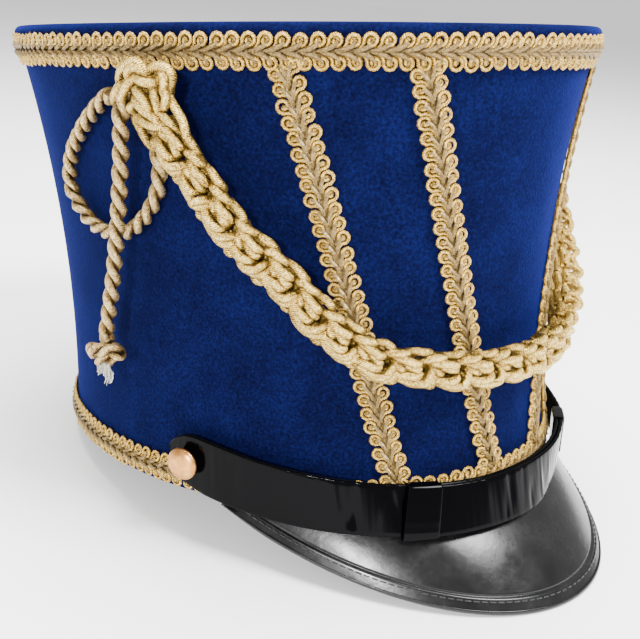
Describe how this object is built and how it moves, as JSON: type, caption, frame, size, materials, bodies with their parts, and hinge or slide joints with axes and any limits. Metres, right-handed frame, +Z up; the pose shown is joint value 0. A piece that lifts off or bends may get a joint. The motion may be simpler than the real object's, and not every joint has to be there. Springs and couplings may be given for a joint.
{
  "type": "shako hat",
  "caption": "Flared velvet shako, open below, with looped gimp braid in nested V lines down the front, a stitched black peak, a patent chin strap and a plaited cord swag.",
  "frame": {"origin": "on the surface that the hat rests on, under the middle of the box round the hat without its free cords", "axes": "+Z up as the hat rests on its peak and the back of its rim, -Y the wearer's front, -X the wearer's right"},
  "size_m": [0.1962, 0.2621, 0.1702],
  "materials": {
    "velvet": "royal blue flocked velvet, short dense pile",
    "gimp_braid": "pale gold rayon gimp with looped edges",
    "metallic_cord": "pale gold cord wound with metallic thread",
    "peak_leathercloth": "black leathercloth with a satin sheen",
    "patent_strap": "black patent vinyl, glossy",
    "button_metal": "satin pale gold wash"
  },
  "bodies": {
    "root": {"crown_side": "velvet", "crown_top": "velvet", "top_braid": "gimp_braid", "rim_braid": "gimp_braid", "front_braid_outer_right": "gimp_braid", "front_braid_inner_right": "gimp_braid", "front_braid_inner_left": "gimp_braid", "front_braid_outer_left": "gimp_braid", "peak": "peak_leathercloth", "peak_binding": "peak_leathercloth", "chin_strap_right": "patent_strap", "chin_strap_left": "patent_strap", "strap_keeper_right": "patent_strap", "strap_keeper_left": "patent_strap", "button_right": "button_metal", "button_left": "button_metal", "knot_right": "metallic_cord", "knot_left": "metallic_cord", "swag": "metallic_cord", "cord_loop": "metallic_cord", "cord_tail": "metallic_cord", "tail_knot": "metallic_cord", "tail_fray": "metallic_cord"}
  },
  "joints": []
}
